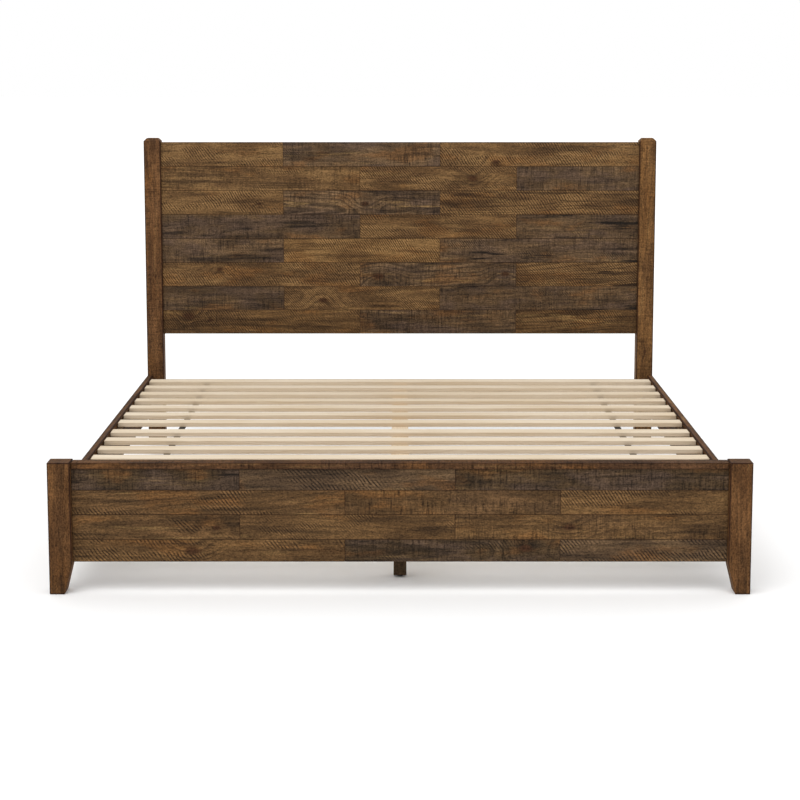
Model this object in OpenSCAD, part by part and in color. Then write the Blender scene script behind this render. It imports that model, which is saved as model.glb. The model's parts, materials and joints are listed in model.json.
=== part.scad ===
// Rustic plank bed frame: a plank headboard and footboard on square posts, two side rails with
// slat ledges, a centre beam on three legs with levelling feet, and fourteen strapped slats.
// Millimetres. +X is right when standing at the foot, +Y runs towards the headboard, +Z is up.
// The origin is on the floor, in the middle of the frame's box.

/* [Overall] */
// Width of the frame over its posts
frame_w = 2000; // [1500:10:2000]
// Length of each side rail, from footboard post to headboard post
rail_l = 2065; // [2060:5:2120]

/* [Posts] */
// Width of every post
post_w = 65; // [55:1:75]
// Depth of every post, along the bed
post_d = 60; // [50:1:70]
// Height of the headboard posts
head_post_h = 1204; // [1200:1:1260]
// Bevel round the top of the headboard posts
head_bevel = 12; // [4:1:18]
// Height of the footboard posts
foot_post_h = 383; // [382:1:420]
// Width of the footboard posts at the floor, after their inner taper
foot_tip_w = 43; // [35:1:55]
// Height at which the inner taper of the footboard posts ends
foot_taper_h = 88; // [60:1:89]

/* [Plank panels] */
// Thickness of the planks
board_t = 22; // [18:1:24]
// Height of the lowest plank's bottom edge in the headboard
head_panel_z = 433; // [425:1:440]
// Height of one headboard row
head_row_h = 94.4; // [80:0.1:94.6]
// Distance of the headboard planks behind the front of their posts
head_recess = 10; // [6:1:16]
// Distance of the footboard planks behind the front of their posts
foot_recess = 22; // [18:1:26]
// Thickness of the footboard cap
cap_t = 19; // [15:1:20]
// Depth of the footboard cap, along the bed
cap_d = 44; // [36:1:45]
// Distance of the cap behind the front of its posts
cap_recess = 15; // [8:1:15]

/* [Rails and ledges] */
// Thickness of the side rails
rail_t = 20; // [20:1:24]
// Height of the side rails' bottom edge
rail_z = 121; // [118:1:123]
// Height of the side rails themselves
rail_h = 146; // [146:1:160]
// Width and height of the slat ledges
ledge = 25; // [20:1:28]
// Height at which the slats rest
ledge_top = 248; // [246:1:248]

/* [Slats and beam] */
// Width of a slat
slat_w = 60; // [50:1:70]
// Thickness of a slat
slat_t = 14; // [12:1:16]
// Distance between neighbouring slats in one strapped roll
slat_pitch = 136.4; // [120:0.1:137]
// Distance between the two rolls' neighbouring slats
roll_pitch = 168; // [150:1:170]
// Width of the centre beam
beam_w = 57; // [50:1:57]
// Height of the centre beam
beam_h = 38; // [34:1:38]
// Side of the square centre legs
leg_w = 38; // [34:1:44]

/* [Levelling feet] */
// Largest radius of a pad
pad_r = 11; // [10:0.5:14]
// Height of a pad
pad_h = 5.6; // [5.5:0.1:6]
// Outer radius of a threaded stem
stem_r = 3.95; // [3.9:0.05:3.95]
// Length of a stem above its pad
stem_l = 36; // [30:1:40]

/* [Hidden] */
SIDES = [-1, 1];
head_rows = 8;
foot_edges = [90, 155, 228, 299, 361]; // footboard row edges, from the bottom up
odd_joints = [-457, 157];              // butt joints of rows 1, 3, 5 and 7, from the top
even_joints = [-157, 457];             // butt joints of the rows between them
edge = 1.2;                            // small bevel along sawn edges
joint_gap = 0.1;                       // air in a joint or round a fastener

half_w = frame_w / 2;
half_l = (rail_l + 2 * post_d) / 2;
rail_y = half_l - post_d;              // where the rails meet the posts, at both ends
inner_x = half_w - post_w;             // half the distance between the posts
head_front = rail_y;                   // front of the headboard posts
foot_front = -half_l;                  // front of the footboard posts
head_panel_y = head_front + head_recess;
foot_panel_y = foot_front + foot_recess;
foot_panel_top = foot_edges[len(foot_edges) - 1];
cap_y = foot_front + cap_recess;

low_rail_z = 147;                      // headboard lower rail, behind the slats
low_rail_h = 100;

ledge_x = half_w - rail_t - ledge;
slat_half = half_w - rail_t - 2;       // half the length of a slat
slats = 14;
roll = 7;                              // slats in one strapped roll
first_slat_y = rail_y - 59;            // rear edge of the slat nearest the headboard
strap_x = 753;
strap_w = 22;
strap_t = 1.2;
staple = [12, 1.4, 0.7];

hanger_t = 2.5;                        // steel of the beam hangers
hanger_flange = 28;
hanger_reach = 42;
hanger_screw_x = beam_w / 2 + hanger_t + hanger_flange / 2;
hanger_screw_z = [ledge_top - 29, ledge_top - 10];
beam_z = ledge_top - beam_h;
beam_from = foot_panel_y + board_t + hanger_t;
beam_to = head_panel_y - hanger_t;

leg_names = ["foot", "middle", "head"];
leg_y = [-894.5, -29.5, 835.5];

bracket_t = 3;                         // steel of the corner brackets
bracket_post = 38;                     // flange on the post
bracket_rail = 70;                     // flange on the rail
bracket_z = rail_z + 14;
bracket_h = 80;
bracket_x = half_w - rail_t;           // corner line of a bracket
bolt_r = 4;
bolt_head_r = 6.5;
bolt_head_h = 4;
bolt_l = 42;
leg_bolt_l = 80;
bolt_z = [bracket_z + 18, bracket_z + 70];  // clear of the dowels in the posts
bolt_x = bracket_x - bracket_post + 16;
screw_r = 2;
screw_head_h = 2;
screw_l = 15;
bracket_screw_y = [34, 56];            // from the post

ledge_end = 12;                        // the ledges stop short of the posts
ledge_screw_l = 36;
ledge_head_h = 3;
ledge_screw_z = ledge_top - ledge / 2;
ledge_screw_y = [for (i = [-3:3]) i * (rail_y - ledge_end - 60) / 3];

dowel_r = 4;
dowel_l = 50;

insert_r = 6;
insert_l = 16;
ball_r = 3.3;
ball_z = 4;
neck_r = 2.4;
pad_base_r = 8.8;

WOOD = [0.38, 0.29, 0.21];
WOOD_WARM = [0.45, 0.33, 0.22];
WOOD_GREY = [0.31, 0.26, 0.21];
PINE = [0.85, 0.76, 0.63];
STEEL = [0.62, 0.63, 0.65];
WEBBING = [0.16, 0.15, 0.15];
NYLON = [0.08, 0.08, 0.08];
$fn = 48;

function two(n) = str(n < 10 ? "0" : "", n);
function head_row_z(n) = head_panel_z + (head_rows - n) * head_row_h;
function foot_row_z(n) = foot_edges[len(foot_edges) - 1 - n];
function foot_row_h(n) = foot_edges[len(foot_edges) - n] - foot_row_z(n);
function joints_of(n) = n % 2 == 1 ? odd_joints : even_joints;
function slat_y(n) = first_slat_y - slat_w / 2 - (n - 1) * slat_pitch
    - (n > roll ? roll_pitch - slat_pitch : 0);

// A rectangle with a small bevel at each corner.
module bevelled(w, h, bevel = edge) {
    polygon([[bevel, 0], [w - bevel, 0], [w, bevel], [w, h - bevel],
             [w - bevel, h], [bevel, h], [0, h - bevel], [0, bevel]]);
}

// A bar along X from x0 to x1, with its low corner at y and z.
module bar_x(x0, x1, y, z, depth, height, bevel = edge) {
    translate([x0, y, z])
        rotate([90, 0, 90])
            linear_extrude(x1 - x0)
                bevelled(depth, height, bevel);
}

// A bar along Y from y0 to y1, with its low corner at x and z.
module bar_y(x, y0, y1, z, width, height, bevel = edge) {
    translate([x, y1, z])
        rotate([90, 0, 0])
            linear_extrude(y1 - y0)
                bevelled(width, height, bevel);
}

// A round bar of radius r from one end at p, running l along +X, +Y or +Z.
module along_x(p, r, l) {
    translate(p) rotate([0, 90, 0]) cylinder(r = r, h = l);
}

module along_y(p, r, l) {
    translate(p) rotate([-90, 0, 0]) cylinder(r = r, h = l);
}

module along_z(p, r, l) {
    translate(p) cylinder(r = r, h = l);
}

// ---------- where the fasteners go; slack is added to each radius to cut their holes ----------

// Dowels between the plank rows and one post, side -1 or 1, at heights zs.
module dowels(side, y, zs, slack = 0) {
    for (z = zs)
        along_x([side * inner_x - dowel_l / 2 - slack, y, z], dowel_r + slack, dowel_l + 2 * slack);
}

module head_dowels(side, slack = 0) {
    y = head_panel_y + board_t / 2;
    zs = concat([for (n = [1:head_rows]) head_row_z(n) + head_row_h / 2],
                [low_rail_z + 25, low_rail_z + 75]);
    dowels(side, y, zs, slack);
}

module foot_dowels(side, slack = 0) {
    dowels(side, foot_panel_y + board_t / 2,
           [for (n = [1:4]) foot_row_z(n) + foot_row_h(n) / 2], slack);
    dowels(side, cap_y + cap_d / 2, [foot_panel_top + cap_t / 2], slack);
}

// Shanks of the two bolts that hold one corner bracket to its post.
module bolt_shanks(side, end, slack = 0) {
    start = end > 0 ? rail_y - bracket_t - slack : -rail_y + bracket_t - bolt_l - slack;
    for (z = bolt_z)
        along_y([side * bolt_x, start, z], bolt_r + slack, bolt_l + 2 * slack);
}

// Shanks of the four screws that hold one corner bracket to its rail.
module bracket_screw_shanks(side, end, slack = 0) {
    x = side > 0 ? bracket_x - bracket_t : -bracket_x + bracket_t - screw_l;
    for (z = bolt_z, y = bracket_screw_y)
        along_x([x - slack, end * (rail_y - y), z], screw_r + slack, screw_l + 2 * slack);
}

// Screws through one ledge into its rail; they start under the head, which sits in the ledge.
module ledge_screw_shanks(side, slack = 0) {
    from = side > 0 ? ledge_x + ledge_head_h : -ledge_x - ledge_head_h - ledge_screw_l;
    for (y = ledge_screw_y)
        along_x([from - slack, y, ledge_screw_z], screw_r + slack, ledge_screw_l + 2 * slack);
}

module ledge_screw_heads(side, slack = 0) {
    from = side > 0 ? ledge_x - slack : -ledge_x - ledge_head_h;
    for (y = ledge_screw_y)
        along_x([from, y, ledge_screw_z], 2 * screw_r + slack, ledge_head_h + slack);
}

// Screws through the flanges of one beam hanger, end -1 for the footboard, 1 for the headboard.
module hanger_screw_shanks(end, slack = 0) {
    l = 18;
    y = end > 0 ? head_panel_y - hanger_t : foot_panel_y + board_t + hanger_t - l;
    for (side = SIDES, z = hanger_screw_z)
        along_y([side * hanger_screw_x, y - slack, z], screw_r + slack, l + 2 * slack);
}

// ---------- headboard ----------

// A post standing at x and y, with a bevel round its top made as a cut on each of its four sides.
module headboard_post(side) {
    x = side > 0 ? inner_x : -half_w;
    color(side > 0 ? WOOD_WARM : WOOD)
        difference() {
            intersection() {
                translate([x, head_front, 0]) linear_extrude(head_post_h) bevelled(post_w, post_d);
                translate([x, head_front, 0])
                    rotate([90, 0, 90])
                        linear_extrude(post_w)
                            post_outline(post_d);
                translate([x, head_front + post_d, 0])
                    rotate([90, 0, 0])
                        linear_extrude(post_d)
                            post_outline(post_w);
            }
            head_dowels(side, joint_gap);
            bolt_shanks(side, 1, joint_gap);
        }
}

// The outline of a headboard post w wide, with its bevelled top.
module post_outline(w) {
    b = head_bevel;
    polygon([[0, 0], [w, 0], [w, head_post_h - b], [w - b, head_post_h], [b, head_post_h],
             [0, head_post_h - b]]);
}

module headboard_boards(n) {
    joints = joints_of(n);
    xs = concat([-inner_x], joints, [inner_x]);
    z = head_row_z(n);
    difference() {
        for (i = [0:2])
            color(i == 1 ? WOOD_WARM : WOOD_GREY)
                bar_x(xs[i] + joint_gap, xs[i + 1] - joint_gap, head_panel_y, z + joint_gap / 2,
                      board_t, head_row_h - joint_gap);
        for (side = SIDES) head_dowels(side, joint_gap);
    }
}

module headboard_lower_rail() {
    color(WOOD)
        difference() {
            bar_x(-inner_x + joint_gap, inner_x - joint_gap, head_panel_y, low_rail_z,
                  board_t, low_rail_h);
            for (side = SIDES) head_dowels(side, joint_gap);
            hanger_screw_shanks(1, joint_gap);
        }
}

module headboard_dowels() {
    color(PINE) for (side = SIDES) head_dowels(side);
}

// ---------- footboard ----------

module footboard_post(side) {
    taper = post_w - foot_tip_w;
    color(side > 0 ? WOOD_WARM : WOOD)
        difference() {
            mirror([side > 0 ? 0 : 1, 0, 0])
                translate([inner_x, foot_front + post_d, 0])
                    rotate([90, 0, 0])
                        linear_extrude(post_d)
                            polygon([[taper, 0], [post_w, 0], [post_w, foot_post_h - edge],
                                     [post_w - edge, foot_post_h], [edge, foot_post_h],
                                     [0, foot_post_h - edge], [0, foot_taper_h]]);
            foot_dowels(side, joint_gap);
            bolt_shanks(side, -1, joint_gap);
        }
}

module footboard_boards(n) {
    joints = joints_of(n);
    xs = concat([-inner_x], joints, [inner_x]);
    difference() {
        for (i = [0:2])
            color(i == 1 ? WOOD_GREY : WOOD_WARM)
                bar_x(xs[i] + joint_gap, xs[i + 1] - joint_gap, foot_panel_y,
                      foot_row_z(n) + joint_gap / 2, board_t, foot_row_h(n) - joint_gap);
        for (side = SIDES) foot_dowels(side, joint_gap);
        hanger_screw_shanks(-1, joint_gap);
    }
}

module footboard_cap() {
    color(WOOD)
        difference() {
            bar_x(-inner_x + joint_gap, inner_x - joint_gap, cap_y, foot_panel_top, cap_d, cap_t);
            for (side = SIDES) foot_dowels(side, joint_gap);
        }
}

module footboard_dowels() {
    color(PINE) for (side = SIDES) foot_dowels(side);
}

// ---------- side rails and ledges ----------

module side_rail(side) {
    color(WOOD)
        difference() {
            bar_y(side > 0 ? half_w - rail_t : -half_w, -rail_y + joint_gap, rail_y - joint_gap,
                  rail_z, rail_t, rail_h);
            for (end = SIDES) bracket_screw_shanks(side, end, joint_gap);
            ledge_screw_shanks(side, joint_gap);
        }
}

module slat_ledge(side) {
    color(WOOD_GREY)
        difference() {
            bar_y(side > 0 ? ledge_x : -ledge_x - ledge, -rail_y + ledge_end, rail_y - ledge_end,
                  ledge_top - ledge, ledge, ledge);
            ledge_screw_shanks(side, joint_gap);
            ledge_screw_heads(side, joint_gap);
        }
}

module ledge_screws() {
    color(STEEL)
        for (side = SIDES) {
            ledge_screw_shanks(side);
            ledge_screw_heads(side);
        }
}

// ---------- corner brackets ----------

// An angle bracket in the corner between one rail and one post.
module corner_bracket(side, end) {
    x = side > 0 ? bracket_x - bracket_post : -bracket_x;
    difference() {
        union() {
            translate([x, end > 0 ? rail_y - bracket_t : -rail_y, bracket_z])
                cube([bracket_post, bracket_t, bracket_h]);
            translate([side > 0 ? bracket_x - bracket_t : -bracket_x,
                       end > 0 ? rail_y - bracket_rail : -rail_y, bracket_z])
                cube([bracket_t, bracket_rail, bracket_h]);
        }
        bolt_shanks(side, end, 2 * joint_gap);
        bracket_screw_shanks(side, end, joint_gap);
    }
}

module corner_brackets() {
    color(STEEL) for (side = SIDES, end = SIDES) corner_bracket(side, end);
}

module bracket_bolts() {
    color(STEEL)
        for (side = SIDES, end = SIDES) {
            bolt_shanks(side, end);
            y = end > 0 ? rail_y - bracket_t - bolt_head_h : -rail_y + bracket_t;
            for (z = bolt_z) along_y([side * bolt_x, y, z], bolt_head_r, bolt_head_h);
        }
}

module bracket_screws() {
    color(STEEL)
        for (side = SIDES, end = SIDES) {
            bracket_screw_shanks(side, end);
            x = side > 0 ? bracket_x - bracket_t - screw_head_h : -bracket_x + bracket_t;
            for (z = bolt_z, y = bracket_screw_y)
                along_x([x, end * (rail_y - y), z], 2 * screw_r, screw_head_h);
        }
}

// ---------- centre beam and its hangers ----------

module centre_beam() {
    color(PINE)
        difference() {
            bar_y(-beam_w / 2, beam_from + joint_gap, beam_to - joint_gap, beam_z, beam_w, beam_h);
            for (y = leg_y) leg_bolt(y, joint_gap);
        }
}

// A folded steel saddle: a back plate with two flanges, two cheeks and a seat under the beam.
module beam_hanger(end) {
    t = hanger_t;
    w = beam_w + 2 * joint_gap;
    plate_w = w + 2 * t + 2 * hanger_flange;
    color(STEEL)
        difference() {
            translate([0, end > 0 ? beam_to + hanger_t : beam_from - hanger_t, 0])
                mirror([0, end > 0 ? 0 : 1, 0]) {
                    translate([-plate_w / 2, -t, beam_z - t]) cube([plate_w, t, beam_h + t]);
                    translate([-w / 2 - t, -hanger_reach, beam_z - t])
                        cube([w + 2 * t, hanger_reach, t]);
                    for (side = SIDES)
                        translate([side > 0 ? w / 2 : -w / 2 - t, -hanger_reach, beam_z - t])
                            cube([t, hanger_reach, beam_h + t]);
                }
            hanger_screw_shanks(end, joint_gap);
        }
}

module hanger_screws() {
    color(STEEL)
        for (end = SIDES) {
            hanger_screw_shanks(end);
            y = end > 0 ? beam_to - screw_head_h : beam_from;
            for (side = SIDES, z = hanger_screw_z)
                along_y([side * hanger_screw_x, y, z], 2 * screw_r, screw_head_h);
        }
}

// ---------- centre legs and levelling feet ----------

// A bolt down through the beam into the top of a leg, its head let into the beam. Its hole is
// open at the top.
module leg_bolt(y, slack = 0) {
    head_z = ledge_top - bolt_head_h - 1;
    open = slack > 0 ? 2 : 0;
    along_z([0, y, head_z - slack], bolt_head_r + slack, bolt_head_h + open);
    along_z([0, y, head_z - leg_bolt_l - slack], bolt_r + slack, leg_bolt_l + slack);
}

module leg_bolts() {
    color(STEEL) for (y = leg_y) leg_bolt(y);
}

module centre_leg(i) {
    y = leg_y[i];
    color(WOOD_GREY)
        difference() {
            translate([-leg_w / 2, y - leg_w / 2, pad_h])
                linear_extrude(beam_z - pad_h)
                    bevelled(leg_w, leg_w);
            leg_bolt(y, joint_gap);
            along_z([0, y, pad_h - 1], insert_r + joint_gap, insert_l + 1 + joint_gap);
            along_z([0, y, pad_h], stem_r + 0.8, stem_l + 4);
        }
}

module leg_inserts() {
    color(STEEL)
        for (y = leg_y)
            difference() {
                along_z([0, y, pad_h], insert_r, insert_l);
                along_z([0, y, pad_h - 1], stem_r + 0.05, insert_l + 2);
            }
}

// A threaded stem with a ball end that turns in the pad.
module levelling_stem(i) {
    y = leg_y[i];
    color(STEEL) {
        translate([0, y, ball_z]) sphere(r = ball_r);
        along_z([0, y, ball_z + 1], neck_r, pad_h - ball_z + 0.5);
        along_z([0, y, pad_h + 1], stem_r, stem_l - 1);
    }
}

// A round pad with a rounded shoulder, a narrower base and a socket that holds the ball.
module levelling_pad(i) {
    y = leg_y[i];
    mouth_r = sqrt(pow(ball_r + 0.05, 2) - pow(pad_h - ball_z, 2));
    color(NYLON)
        difference() {
            translate([0, y, 0])
                rotate_extrude()
                    polygon([[0, 0], [pad_base_r, 0], [pad_r, 2.4], [pad_r, pad_h - 1.2],
                             [pad_r - 1.2, pad_h], [0, pad_h]]);
            translate([0, y, ball_z]) sphere(r = ball_r + 0.05);
            along_z([0, y, ball_z + 1], mouth_r, pad_h);
        }
}

// ---------- slats and straps ----------

module slat(n) {
    color(PINE)
        bar_x(-slat_half, slat_half, slat_y(n) - slat_w / 2, ledge_top, slat_w, slat_t);
}

module slat_strap(side) {
    from = slat_y(slats) - slat_w / 2 + 6;
    to = slat_y(1) + slat_w / 2 - 6;
    color(WEBBING)
        translate([side * strap_x - strap_w / 2, from, ledge_top - strap_t])
            cube([strap_w, to - from, strap_t]);
}

module strap_staples() {
    color(STEEL)
        for (side = SIDES, n = [1:slats])
            translate([side * strap_x - staple[0] / 2, slat_y(n) - staple[1] / 2,
                       ledge_top - strap_t - staple[2]])
                cube(staple);
}

headboard_post(-1);  // headboard_post_left
headboard_post(1);  // headboard_post_right
headboard_lower_rail();
headboard_dowels();
for (n = [1:head_rows])
    headboard_boards(n);
footboard_post(-1);  // footboard_post_left
footboard_post(1);  // footboard_post_right
footboard_cap();
footboard_dowels();
for (n = [1:4])
    footboard_boards(n);
side_rail(-1);  // side_rail_left
side_rail(1);  // side_rail_right
slat_ledge(-1);  // slat_ledge_left
slat_ledge(1);  // slat_ledge_right
centre_beam();
beam_hanger(-1);  // beam_hanger_foot
beam_hanger(1);  // beam_hanger_head
for (i = [0:2]) {
    centre_leg(i);
    levelling_stem(i);
    levelling_pad(i);
}
for (n = [1:slats])
    slat(n);
slat_strap(-1);  // slat_strap_left
slat_strap(1);  // slat_strap_right
strap_staples();
corner_brackets();
bracket_bolts();
bracket_screws();
ledge_screws();
hanger_screws();
leg_inserts();
leg_bolts();
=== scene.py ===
import json
import math
import random
from collections import namedtuple

import bpy
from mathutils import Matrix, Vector, noise


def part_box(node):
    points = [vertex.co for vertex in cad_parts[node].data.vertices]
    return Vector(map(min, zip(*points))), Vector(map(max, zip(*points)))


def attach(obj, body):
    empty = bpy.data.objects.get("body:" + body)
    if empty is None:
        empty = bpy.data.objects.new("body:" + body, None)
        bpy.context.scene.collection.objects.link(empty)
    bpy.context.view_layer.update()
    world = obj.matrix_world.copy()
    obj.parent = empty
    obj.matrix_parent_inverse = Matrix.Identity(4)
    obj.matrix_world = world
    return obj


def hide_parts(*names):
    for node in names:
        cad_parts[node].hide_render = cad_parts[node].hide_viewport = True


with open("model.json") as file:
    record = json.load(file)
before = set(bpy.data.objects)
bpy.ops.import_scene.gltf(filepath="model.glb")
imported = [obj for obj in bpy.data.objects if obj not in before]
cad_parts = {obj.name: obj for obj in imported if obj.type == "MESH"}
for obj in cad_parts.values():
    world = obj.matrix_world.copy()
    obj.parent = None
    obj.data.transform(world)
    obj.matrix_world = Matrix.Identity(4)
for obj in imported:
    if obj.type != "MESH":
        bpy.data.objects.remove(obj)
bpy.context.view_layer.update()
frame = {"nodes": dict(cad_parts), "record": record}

# ---------------------------------------------------------------- boards, as the real ones look

# tone: a name in TONES. hatch: diagonal saw marks. saw: upright saw marks. streaks: dark weathered
# streaks. figure: how clear the growth rings are. knots: (share of length, share of height, radius).
Board = namedtuple("Board", "tone hatch saw streaks figure knots", defaults=[()])

HEADBOARD = [
    [Board("golden", 0.5, 0.0, 0.2, 0.3),
     Board("ash", 0.1, 1.0, 0.6, 0.5),
     Board("golden", 0.7, 0.1, 0.3, 0.4, ((0.28, 0.20, 0.012),))],
    [Board("golden", 0.1, 0.6, 0.7, 0.5),
     Board("golden", 0.7, 0.1, 0.3, 0.4, ((0.72, 0.50, 0.016),)),
     Board("umber", 0.0, 0.9, 0.5, 0.2)],
    [Board("golden", 0.65, 0.0, 0.3, 0.3, ((0.80, 0.44, 0.007),)),
     Board("ash", 0.1, 0.9, 0.8, 1.0, ((0.52, 0.45, 0.013),)),
     Board("golden", 1.2, 0.0, 0.8, 0.8)],
    [Board("umber", 0.0, 0.9, 0.9, 0.4),
     Board("golden", 0.9, 0.0, 0.2, 0.4),
     Board("umber", 0.1, 0.9, 1.3, 0.5)],
    [Board("ash", 0.1, 1.0, 0.9, 0.4),
     Board("honey", 0.8, 0.0, 0.2, 0.3),
     Board("ash", 0.2, 0.9, 1.5, 0.6)],
    [Board("golden", 0.8, 0.0, 0.4, 0.5, ((0.29, 0.72, 0.011),)),
     Board("ash", 0.1, 0.9, 0.9, 1.0, ((0.12, 0.42, 0.018), (0.93, 0.52, 0.014))),
     Board("golden", 2.0, 0.0, 1.2, 0.9)],
    [Board("umber", 0.1, 0.9, 0.6, 0.4),
     Board("golden", 0.7, 0.1, 0.4, 0.6, ((0.25, 0.42, 0.015),)),
     Board("umber", 0.1, 0.9, 1.4, 0.5)],
    [Board("brown", 0.8, 0.5, 0.6, 0.5, ((0.13, 0.74, 0.020), (0.24, 0.58, 0.008))),
     Board("umber", 0.1, 1.0, 0.8, 0.6),
     Board("brown", 0.7, 0.5, 0.4, 1.0)],
]

FOOTBOARD = [
    [Board("slate", 0.1, 0.8, 1.3, 0.4),
     Board("umber", 0.35, 0.1, 0.7, 0.5),
     Board("slate", 0.0, 1.0, 0.9, 0.4)],
    [Board("hazel", 0.3, 0.1, 0.4, 0.6),
     Board("hazel", 0.1, 1.0, 0.4, 0.3),
     Board("brown", 0.45, 0.1, 0.5, 0.4)],
    [Board("hazel", 0.3, 0.1, 0.6, 0.6, ((0.86, 0.47, 0.010),)),
     Board("brown", 0.35, 0.2, 0.6, 0.5),
     Board("brown", 0.1, 0.9, 0.7, 0.5, ((0.42, 0.50, 0.014),))],
    [Board("brown", 0.3, 0.1, 0.6, 0.4, ((0.44, 0.48, 0.018),)),
     Board("slate", 0.1, 0.9, 0.8, 0.7, ((0.84, 0.62, 0.015),)),
     Board("umber", 0.45, 0.1, 0.5, 0.5)],
]


def srgb(red, green, blue):
    """A colour given on the usual 0 to 255 scale, as the linear colour that a node takes."""
    def linear(value):
        value /= 255
        return value / 12.92 if value <= 0.04045 else ((value + 0.055) / 1.055) ** 2.4
    return (linear(red), linear(green), linear(blue), 1.0)


# Each tone of the stained planks: its light wood, its body colour and its dark stain.
TONES = {
    "honey": (srgb(134, 103, 65), srgb(106, 79, 49), srgb(50, 35, 24)),
    "golden": (srgb(124, 95, 61), srgb(97, 72, 46), srgb(44, 32, 23)),
    "brown": (srgb(107, 80, 50), srgb(86, 63, 39), srgb(38, 28, 20)),
    "hazel": (srgb(100, 74, 47), srgb(80, 59, 37), srgb(36, 27, 19)),
    "ash": (srgb(110, 87, 63), srgb(86, 67, 48), srgb(37, 30, 25)),
    "umber": (srgb(97, 76, 54), srgb(76, 59, 43), srgb(31, 26, 22)),
    "slate": (srgb(80, 62, 42), srgb(63, 49, 34), srgb(27, 22, 18)),
    "amber": (srgb(118, 84, 49), srgb(98, 69, 40), srgb(48, 32, 21)),
    "russet": (srgb(110, 77, 48), srgb(90, 61, 37), srgb(42, 29, 20)),
    "chestnut": (srgb(103, 71, 42), srgb(84, 56, 32), srgb(39, 27, 17)),
    "walnut": (srgb(87, 60, 38), srgb(71, 48, 30), srgb(25, 17, 12)),
}
GREY_TONES = ("ash", "umber", "slate")
GREYED = srgb(83, 67, 58)   # weathered grey in those boards
RUSTY = srgb(118, 79, 42)   # orange flushes
PALE = srgb(158, 126, 80)   # thin pale streaks
KNOTTED = srgb(58, 36, 23)  # the heart of a knot
ARRIS_STAIN_AND_SHADE = srgb(36, 19, 14)    # stain gathered on the arrises; on the cap also painted shade of the shadow line under it

# ---------------------------------------------------------------- node trees


class Tree:
    """Short names for the calls that build one node tree."""

    def __init__(self, tree):
        self.tree = tree

    def add(self, kind, inputs=None, **settings):
        node = self.tree.nodes.new(kind)
        for key, value in settings.items():
            setattr(node, key, value)
        for key, value in (inputs or {}).items():
            if isinstance(value, bpy.types.NodeSocket):
                self.link(value, node.inputs[key])
            else:
                node.inputs[key].default_value = value
        return node

    def math(self, operation, *values, clamp=False):
        node = self.add("ShaderNodeMath", dict(enumerate(values)), operation=operation,
                        use_clamp=clamp)
        return node.outputs[0]

    def plus(self, *values):
        return self.math("ADD", *values)

    def minus(self, *values):
        return self.math("SUBTRACT", *values)

    def times(self, *values, clamp=False):
        return self.math("MULTIPLY", *values, clamp=clamp)

    def larger(self, *values, clamp=False):
        return self.math("MAXIMUM", *values, clamp=clamp)

    def vector(self, operation, *values):
        node = self.add("ShaderNodeVectorMath", dict(enumerate(values)), operation=operation)
        return node.outputs["Value" if operation in ("LENGTH", "DOT_PRODUCT") else "Vector"]

    def parts(self, vector):
        return self.add("ShaderNodeSeparateXYZ", {0: vector}).outputs

    def joined(self, x, y, z):
        return self.add("ShaderNodeCombineXYZ", {0: x, 1: y, 2: z}).outputs[0]

    def noise(self, vector, scale, detail=2.0, roughness=0.5):
        """Noise at a vector stretched by scale, a number for each axis."""
        stretched = self.vector("MULTIPLY", vector, scale)
        node = self.add("ShaderNodeTexNoise", {"Vector": stretched, "Scale": 1.0, "Detail": detail,
                                               "Roughness": roughness})
        return node.outputs[0]

    def ramp(self, value, low, high, start=0.0, end=1.0):
        """A smooth step from start to end as value goes from low to high."""
        node = self.add("ShaderNodeMapRange", {0: value, 1: low, 2: high, 3: start, 4: end},
                        interpolation_type="SMOOTHSTEP")
        return node.outputs[0]

    def shaded(self, colour, light):
        """The colour made lighter or darker by a factor."""
        return self.mix(1.0, colour, self.joined(light, light, light), "MULTIPLY")

    def link(self, output, target):
        self.tree.links.new(output, target)

    def mix(self, factor, first, second, blend="MIX"):
        node = self.add("ShaderNodeMix", data_type="RGBA", blend_type=blend)
        for key, value in ((0, factor), (6, first), (7, second)):
            if isinstance(value, bpy.types.NodeSocket):
                self.link(value, node.inputs[key])
            else:
                node.inputs[key].default_value = value
        return node.outputs[2]


def new_group(name, inputs, outputs):
    """An empty shader group with these sockets: (name, kind, default) in and (name, kind) out."""
    group = bpy.data.node_groups.new(name, "ShaderNodeTree")
    for label, kind, default in inputs:
        socket = group.interface.new_socket(label, in_out="INPUT", socket_type=f"NodeSocket{kind}")
        if default is not None:
            socket.default_value = default
    for label, kind in outputs:
        group.interface.new_socket(label, in_out="OUTPUT", socket_type=f"NodeSocket{kind}")
    tree = Tree(group)
    return tree, tree.add("NodeGroupInput").outputs, tree.add("NodeGroupOutput").inputs


def grain_group():
    """Coordinates of a bar in metres from its centre: along its grain, across it, and through it."""
    tree, given, out = new_group(
        "grain coordinates",
        [("Along", "Vector", (1, 0, 0)), ("Across", "Vector", (0, 0, 1)),
         ("Through", "Vector", (0, 1, 0)), ("Centre", "Vector", (0, 0, 0))],
        [("Vector", "Vector")])
    place = tree.add("ShaderNodeTexCoord").outputs["Object"]
    place = tree.vector("SUBTRACT", place, given["Centre"])
    along, across, through = (tree.vector("DOT_PRODUCT", place, given[axis])
                              for axis in ("Along", "Across", "Through"))
    tree.link(tree.joined(along, across, through), out["Vector"])


def knot_fields(tree, along, across, knot, reach):
    """How near a knot is (1 to 0), how far it bends the rings there, and how dark its heart is."""
    ku, kv, radius = tree.parts(knot)
    du = tree.times(tree.minus(along, ku), 0.55)
    dv = tree.minus(across, kv)
    distance = tree.math("DIVIDE", tree.vector("LENGTH", tree.joined(du, dv, 0.0)),
                         tree.larger(radius, 0.0001))
    bend = tree.ramp(distance, 0.0, reach, 1.0, 0.0)
    return bend, tree.times(bend, radius), tree.ramp(distance, 0.30, 1.0, 1.0, 0.0)


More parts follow.
